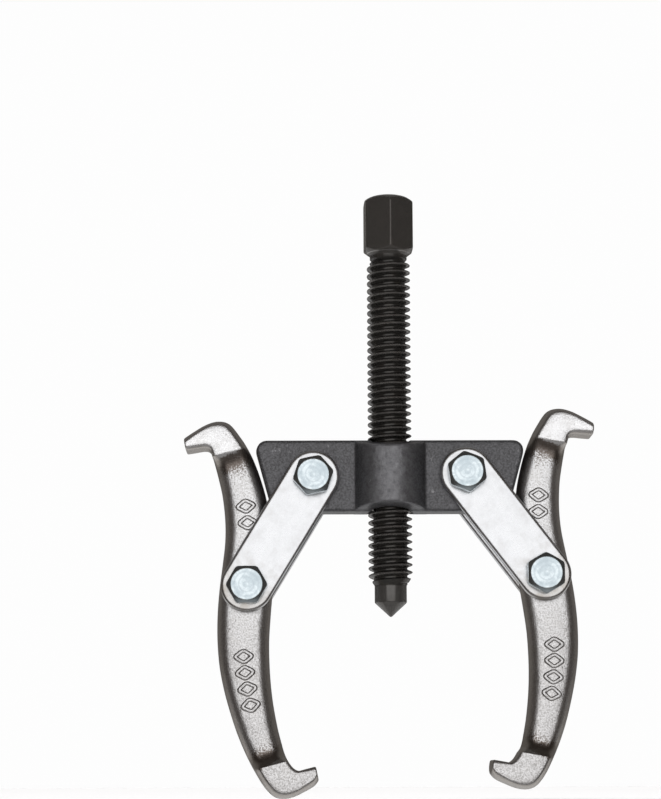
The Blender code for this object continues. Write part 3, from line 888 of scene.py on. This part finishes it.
def build_arm(name, arm, surfaces):
    """One pair of links with the bolts and nuts that ride with it."""
    side = arm["side"]
    angle = -side * math.radians(arm["link"])
    place = Matrix.Translation(link_bolt(arm)) @ Matrix.Rotation(angle, 4, "Y")
    body = f"{name}_links"
    for where, y in (("front", -1), ("rear", 1)):
        mesh = link_mesh()
        mesh.transform(Matrix.Translation((0, y * (CENTRE_PLANE + GAP + LINK_THICKNESS / 2), 0)))
        in_metres(mesh)
        node = f"{name}_{where}_link"
        add_piece(f"{node}_strap", mesh, surfaces["strap"], body, node, 40, place)
    for where, height, turn in (("crossbar", 0.0, arm["hex"][0]), ("jaw", -LINK_CENTRES, arm["hex"][1])):
        spin = math.radians(turn + 30) + angle
        spot = place @ Matrix.Translation((0, 0, height * MM))
        for kind, maker in (("bolt", bolt_mesh), ("nut", nut_mesh)):
            mesh = in_metres(maker(spin))
            node = f"{name}_{where}_{kind}"
            add_piece(f"{node}_plated", mesh, surfaces["bolt"], body, node, 30, spot)


# ---------------------------------------------------------------- spindle

PITCH = 2.11
CREST = 6.1
ROOT = 4.65
TIP = 4.42
HEAD_FLATS = 13.3
HEAD_TOP = 79.7
HEAD_BOTTOM = 62.9
NECK = 5.2
THREAD_TOP = 61.2
THREAD_BOTTOM = -29.8
TIP_SHOULDER = -34.9
TIP_POINT = -38.7
HEAD_TURN = math.radians(34)
HEAD_CORNER = 0.1
THREAD_ROWS = 10
THREAD_LEAD_IN = 2.3
THREAD_RUN_OUT = 1.2
THREAD_FLAT = 0.07
THREAD_FLANK = 0.33
THREAD_SHIFT = 0.9


def thread_radius(share):
    """Thread radius over one pitch, rounded at crest and root."""
    off = abs((share + THREAD_SHIFT) % 1.0 - 0.5)
    if off < THREAD_FLAT:
        rise = 1.0 - 0.04 * (off / THREAD_FLAT) ** 2
    else:
        t = min((off - THREAD_FLAT) / THREAD_FLANK, 1.0)
        rise = 0.96 * (0.5 + 0.5 * math.cos(math.pi * t)) ** 0.85
    return ROOT + (CREST - ROOT) * rise


def thread_envelope(height):
    """The widest the thread may be at a height: it fades in and out at its ends."""
    up = (height - THREAD_BOTTOM) / THREAD_LEAD_IN
    down = (THREAD_TOP - height) / THREAD_RUN_OUT
    return ROOT + max(0.0, min(1.0, up, down)) * (CREST - ROOT)


def spindle_mesh():
    """The screw along Z about the crossbar's middle: thread, point and head."""
    work = bmesh.new()
    columns = hexagon_columns()
    count = len(columns)
    turns = math.ceil((THREAD_TOP - THREAD_BOTTOM) / PITCH) + 2
    rows = []
    for turn in range(turns + 1):
        for row in range(THREAD_ROWS):
            ring = []
            for angle in columns:
                lead = (angle - columns[0]) / (2 * math.pi)
                rise = turn - 1 + row / THREAD_ROWS + lead
                height = min(max(THREAD_BOTTOM + rise * PITCH, THREAD_BOTTOM), THREAD_TOP)
                radius = min(thread_radius(row / THREAD_ROWS), thread_envelope(height))
                spot = angle + HEAD_TURN
                ring.append(work.verts.new((radius * math.cos(spot), radius * math.sin(spot), height)))
            rows.append(ring)
    for low in range(len(rows) - THREAD_ROWS - 1):
        for column in range(count):
            wraps = column + 1 == count
            ahead = low + THREAD_ROWS if wraps else low
            beside = 0 if wraps else column + 1
            corners = (
                rows[low][column],
                rows[ahead][beside],
                rows[ahead + 1][beside],
                rows[low + 1][column],
            )
            work.faces.new(corners)
    # Plain end and point
    rings = [round_ring(work, ROOT, HEAD_TURN, THREAD_BOTTOM)]
    for radius, height in (
        (TIP + 0.05, THREAD_BOTTOM - 0.25),
        (TIP, THREAD_BOTTOM - 0.45),
        (TIP, TIP_SHOULDER + 0.25),
        (TIP - 0.08, TIP_SHOULDER + 0.05),
        (TIP - 0.25, TIP_SHOULDER - 0.14),
        (1.2, TIP_POINT + 0.92),
        (0.45, TIP_POINT + 0.2),
        (0.2, TIP_POINT + 0.04),
        (0.05, TIP_POINT),
    ):
        rings.append(round_ring(work, radius, HEAD_TURN, height))
    skin(work, rings)
    work.faces.new(rings[-1])
    low_disc = 0.8 * HEAD_FLATS / 2
    top_disc = 0.63 * HEAD_FLATS / 2

    def top_of(distance):
        edge = (distance - top_disc) / (HEAD_FLATS / math.sqrt(3) - top_disc)
        return HEAD_TOP - 2.0 * max(edge, 0.0) ** 1.9

    def low_of(distance):
        return HEAD_BOTTOM - 0.1 + (distance - low_disc) * 0.78

    # Neck and hexagonal head
    rings = [
        round_ring(work, ROOT, HEAD_TURN, THREAD_TOP),
        round_ring(work, NECK - 0.12, HEAD_TURN, THREAD_TOP + 0.45),
        round_ring(work, NECK, HEAD_TURN, THREAD_TOP + 0.62),
        round_ring(work, NECK, HEAD_TURN, HEAD_BOTTOM - 0.25),
        round_ring(work, NECK + 0.08, HEAD_TURN, HEAD_BOTTOM - 0.12),
        between_ring(work, low_disc, HEAD_FLATS, HEAD_CORNER, HEAD_TURN, 0.35, low_of),
        between_ring(work, low_disc, HEAD_FLATS, HEAD_CORNER, HEAD_TURN, 0.7, low_of),
        between_ring(work, low_disc, HEAD_FLATS, HEAD_CORNER, HEAD_TURN, 0.95, low_of),
        hexagon_ring(work, HEAD_FLATS - 0.05, HEAD_CORNER + 0.02, HEAD_TURN, lambda r: low_of(r) + 0.06),
        hexagon_ring(work, HEAD_FLATS, HEAD_CORNER, HEAD_TURN, lambda r: low_of(r) + 0.35),
    ]
    for i in range(1, 5):
        height = HEAD_BOTTOM + 2.6 + i * 2.3
        rings.append(hexagon_ring(work, HEAD_FLATS, HEAD_CORNER, HEAD_TURN, lambda r, h=height: h))
    rings += [
        hexagon_ring(work, HEAD_FLATS, HEAD_CORNER, HEAD_TURN, lambda r: top_of(r) - 0.35),
        hexagon_ring(work, HEAD_FLATS - 0.05, HEAD_CORNER + 0.02, HEAD_TURN, lambda r: top_of(r) - 0.08),
    ]
    for share in (0.95, 0.75, 0.5, 0.25):
        rings.append(between_ring(work, top_disc, HEAD_FLATS, HEAD_CORNER, HEAD_TURN, share, top_of))
    rings.append(round_ring(work, top_disc, HEAD_TURN, HEAD_TOP - 0.02))
    rings.append(round_ring(work, 0.5 * top_disc, HEAD_TURN, HEAD_TOP))
    rings.append(round_ring(work, 0.3, HEAD_TURN, HEAD_TOP))
    skin(work, rings)
    work.faces.new(rings[-1])
    bmesh.ops.remove_doubles(work, verts=work.verts, dist=WELD)
    loose = [v for v in work.verts if not v.link_faces]
    bmesh.ops.delete(work, geom=loose, context="VERTS")
    return mesh_from("spindle", work)


def build_spindle(surface):
    mesh = in_metres(spindle_mesh())
    place = Matrix.Translation(HUB)
    add_piece("spindle_screw", mesh, surface, "spindle", "spindle", 38, place)


# ---------------------------------------------------------------- crossbar

BAR_HALF_HEIGHT = 10.2
BAR_HALF_WIDTH = 38.1
BAR_HALF_THICKNESS = 3.8
BAR_CORNER = 3.0
BOSS_RADIUS = 10.3
BOSS_HALF_HEIGHT = 10.4
BOSS_DRAFT = math.radians(14)
BORE_RADIUS = CREST + GAP
BAR_END_SLOPE = math.radians(15.3)
BAR_EDGE = 0.75
BAR_EDGE_INSET = 0.6
BAR_DRAFT_INSET = 0.28


def rounded_outline(corners, radius, steps):
    """A closed outline with an arc at each corner."""
    points = []
    for i, corner in enumerate(corners):
        corner = Vector(corner)
        before = (Vector(corners[i - 1]) - corner).normalized()
        after = (Vector(corners[(i + 1) % len(corners)]) - corner).normalized()
        half = before.angle(after) / 2
        centre = corner + (before + after).normalized() * (radius / math.sin(half))
        start = corner + before * (radius / math.tan(half)) - centre
        end = corner + after * (radius / math.tan(half)) - centre
        sweep = start.angle_signed(end)
        for step in range(steps + 1):
            points.append(centre + Matrix.Rotation(-sweep * step / steps, 2) @ start)
    return points


def wing_mesh():
    low = BAR_HALF_WIDTH - 2 * BAR_HALF_HEIGHT * math.tan(BAR_END_SLOPE)
    corners = (
        (-BAR_HALF_WIDTH, BAR_HALF_HEIGHT),
        (BAR_HALF_WIDTH, BAR_HALF_HEIGHT),
        (low, -BAR_HALF_HEIGHT),
        (-low, -BAR_HALF_HEIGHT),
    )
    outline = rounded_outline(corners, BAR_CORNER, 8)
    work = bmesh.new()
    rings = []
    for turn in [math.pi / 2 * i / 8 for i in range(-8, 9)]:
        height = math.sin(turn)
        up = abs(height)
        below = (1 - up) * BAR_HALF_THICKNESS
        inset = BAR_DRAFT_INSET * up
        if below < BAR_EDGE:
            rounding = 1 - math.sqrt(max(0.0, 1 - ((BAR_EDGE - below) / BAR_EDGE) ** 2))
            inset += BAR_EDGE_INSET * rounding
        ring = []
        for i, point in enumerate(outline):
            along = outline[(i + 1) % len(outline)] - outline[i - 1]
            inward = Vector((along.y, -along.x)).normalized()
            moved = point + inward * inset
            ring.append((moved.x, -height * BAR_HALF_THICKNESS, moved.y))
        rings.append(new_ring(work, ring))
    skin(work, rings)
    work.faces.new(rings[0])
    work.faces.new(rings[-1])
    return mesh_from("wings", work)


def boss_mesh():
    """A round boss whose ends draw away from the parting plane."""
    work = bmesh.new()
    count = 96
    rings = []
    rows = 24
    for row in range(rows + 1):
        share = 2 * row / rows - 1
        ring = []
        for i in range(count):
            angle = 2 * math.pi * i / count
            x = BOSS_RADIUS * math.cos(angle)
            y = BOSS_RADIUS * math.sin(angle)
            limit = BOSS_HALF_HEIGHT - abs(y) * math.tan(BOSS_DRAFT)
            ring.append((x, y, limit * share))
        rings.append(new_ring(work, ring))
    skin(work, rings)
    # Each end is two sloping planes that meet on the parting plane
    half = count // 2
    for ring in (rings[0], rings[-1]):
        work.faces.new(ring[: half + 1])
        work.faces.new([*ring[half:], ring[0]])
    return mesh_from("boss", work)


def crossbar_mesh():
    """Wings and boss blended into one forging, then bored."""
    joined = bmesh.new()
    for mesh in (wing_mesh(), boss_mesh()):
        joined.from_mesh(mesh)
        bpy.data.meshes.remove(mesh)
    source = linked("forging blank", mesh_from("forging blank", joined, recalculate=False))
    remesh = source.modifiers.new("remesh", "REMESH")
    remesh.mode = "VOXEL"
    remesh.voxel_size = 0.36
    remesh.use_smooth_shade = True
    smooth = source.modifiers.new("smooth", "SMOOTH")
    smooth.factor = 0.5
    smooth.iterations = 5
    bpy.context.view_layer.update()
    solid = baked(source)
    tools = [(cylinder(BORE_RADIUS, BORE_CUTTER, 72), "DIFFERENCE")]
    for arm in ARMS.values():
        x, z = arm["hole"]
        hole = lying(cylinder(HOLE_RADIUS, HOLE_CUTTER, 32))
        hole.transform(Matrix.Translation((x, 0, z)))
        tools.append((hole, "DIFFERENCE"))
    return with_boolean(solid, tools)


def build_crossbar(surface):
    mesh = in_metres(crossbar_mesh())
    place = Matrix.Translation(HUB)
    add_piece("crossbar_forging", mesh, surface, "crossbar", "crossbar", 40, place)


# ---------------------------------------------------------------- build

surfaces = {"strap": zinc_sheet(), "bolt": zinc_bolt()}
nickel = nickel_forging()
build_crossbar(black_forging())
build_spindle(black_oxide())
for arm_name, arm_place in ARMS.items():
    build_arm(arm_name, arm_place, surfaces)
    build_jaw(arm_name, arm_place, nickel)

# ---------------------------------------------------------------- studio

# Lengths in metres
FLOOR_RADIUS = 30.0
FLOOR_DROP = 0.0003
LIGHT_SIZE = (1.4, 1.0)
LIGHT_RADIANCE = 1.3
SUN_STRENGTH = 2.95
SUN_SPREAD = math.radians(60)
SUN_TILT = (math.radians(-12), math.radians(-8), 0)
CAMERA_PLACE = Vector((-0.0225, -0.644, 0.0031))
CAMERA_AIM = Vector((-0.0164, 0.0, 0.1098))
CAMERA_ROLL = math.radians(-0.2)
CAMERA_LENS = 105.4

scene = bpy.context.scene
scene.view_settings.view_transform = "Standard"
scene.view_settings.look = "None"


def floor():
    """A wide matt floor that catches soft shade but isn't reflected in the metal."""
    work = bmesh.new()
    bmesh.ops.create_circle(work, cap_ends=True, segments=128, radius=FLOOR_RADIUS)
    mesh = mesh_from("floor", work)
    made = linked("studio_floor", mesh)
    made.location.z = -FLOOR_DROP
    surface = bpy.data.materials.new("pale_floor")
    surface.use_nodes = True
    shader = surface.node_tree.nodes["Principled BSDF"]
    shader.inputs["Base Color"].default_value = (0.93, 0.93, 0.935, 1)
    shader.inputs["Roughness"].default_value = 0.9
    shader.inputs["Specular IOR Level"].default_value = 0.0
    mesh.materials.append(surface)
    made.visible_glossy = False
    made.visible_shadow = False


def aimed(place, aim):
    return (Vector(aim) - Vector(place)).to_track_quat("-Z", "Y")


def front_light():
    place = (0.0, -1.1, 0.17)
    data = bpy.data.lights.new("front_softbox", "AREA")
    data.shape = "RECTANGLE"
    width, height = LIGHT_SIZE
    data.size = width
    data.size_y = height
    data.energy = LIGHT_RADIANCE * math.pi * width * height
    made = linked("front_softbox", data)
    made.location = place
    made.rotation_mode = "QUATERNION"
    made.rotation_quaternion = aimed(place, (0.0, 0.0, 0.09))
    made.visible_camera = False


def overhead_light():
    data = bpy.data.lights.new("overhead_light", "SUN")
    data.energy = SUN_STRENGTH
    data.angle = SUN_SPREAD
    made = linked("overhead_light", data)
    made.rotation_euler = SUN_TILT
    made.visible_glossy = False


def camera():
    data = bpy.data.cameras.new("camera")
    data.sensor_width = 36.0
    data.lens = CAMERA_LENS
    made = linked("camera", data)
    made.location = CAMERA_PLACE
    made.rotation_mode = "QUATERNION"
    roll = Matrix.Rotation(CAMERA_ROLL, 3, "Z").to_quaternion()
    made.rotation_quaternion = aimed(made.location, CAMERA_AIM) @ roll
    scene.camera = made


def world():
    """Plain white to the camera, and a dark studio with pale glows to everything else."""
    made = bpy.data.worlds.new("studio")
    scene.world = made
    made.use_nodes = True
    tree = made.node_tree
    tree.nodes.clear()
    link = tree.links.new

    def node(kind):
        return tree.nodes.new(kind)

    coordinates = node("ShaderNodeTexCoord")
    split = node("ShaderNodeSeparateXYZ")
    link(coordinates.outputs["Generated"], split.inputs[0])

    def glow(axis, start, end, strength=1.0):
        part = node("ShaderNodeMapRange")
        part.interpolation_type = "SMOOTHSTEP"
        part.inputs["From Min"].default_value = start
        part.inputs["From Max"].default_value = end
        part.inputs["To Max"].default_value = strength
        link(split.outputs[axis], part.inputs["Value"])
        return part.outputs["Result"]

    def combined(operation, first, second):
        part = node("ShaderNodeMath")
        part.operation = operation
        link(first, part.inputs[0])
        link(second, part.inputs[1])
        return part.outputs[0]

    # From front (0) to back (1) the studio goes from brown shade to grey
    depth = node("ShaderNodeMapRange")
    depth.inputs["From Min"].default_value = -1
    depth.inputs["From Max"].default_value = 1
    link(split.outputs["Y"], depth.inputs["Value"])
    ramp = node("ShaderNodeValToRGB")
    stops = ramp.color_ramp.elements
    stops[0].position = 0.0
    stops[0].color = (0.10, 0.085, 0.075, 1)
    stops[1].position = 1.0
    stops[1].color = (0.16, 0.15, 0.14, 1)
    for position, colour in (
        (0.46, (0.050, 0.043, 0.038, 1)),
        (0.58, (0.15, 0.14, 0.13, 1)),
        (0.72, (0.25, 0.245, 0.24, 1)),
    ):
        stops.new(position).color = colour
    link(depth.outputs["Result"], ramp.inputs["Fac"])

    # A broad pale glow from below and behind lights the sides and the back
    low_behind = combined("MULTIPLY", glow("Z", -0.19, -0.32), glow("Y", -0.05, 0.3))
    either = combined("MAXIMUM", low_behind, glow("Z", -0.6, -0.88, 0.35))
    add = node("ShaderNodeMix")
    add.data_type = "RGBA"
    add.inputs[7].default_value = (0.8, 0.8, 0.8, 1)
    link(either, add.inputs[0])
    link(ramp.outputs["Color"], add.inputs[6])

    lit = node("ShaderNodeBackground")
    link(add.outputs[2], lit.inputs["Color"])
    seen = node("ShaderNodeBackground")
    seen.inputs["Color"].default_value = (0.985, 0.985, 0.985, 1)
    path = node("ShaderNodeLightPath")
    mix = node("ShaderNodeMixShader")
    link(path.outputs["Is Camera Ray"], mix.inputs[0])
    link(lit.outputs[0], mix.inputs[1])
    link(seen.outputs[0], mix.inputs[2])
    out = node("ShaderNodeOutputWorld")
    link(mix.outputs[0], out.inputs["Surface"])


floor()
world()
front_light()
overhead_light()
camera()

bpy.context.view_layer.update()
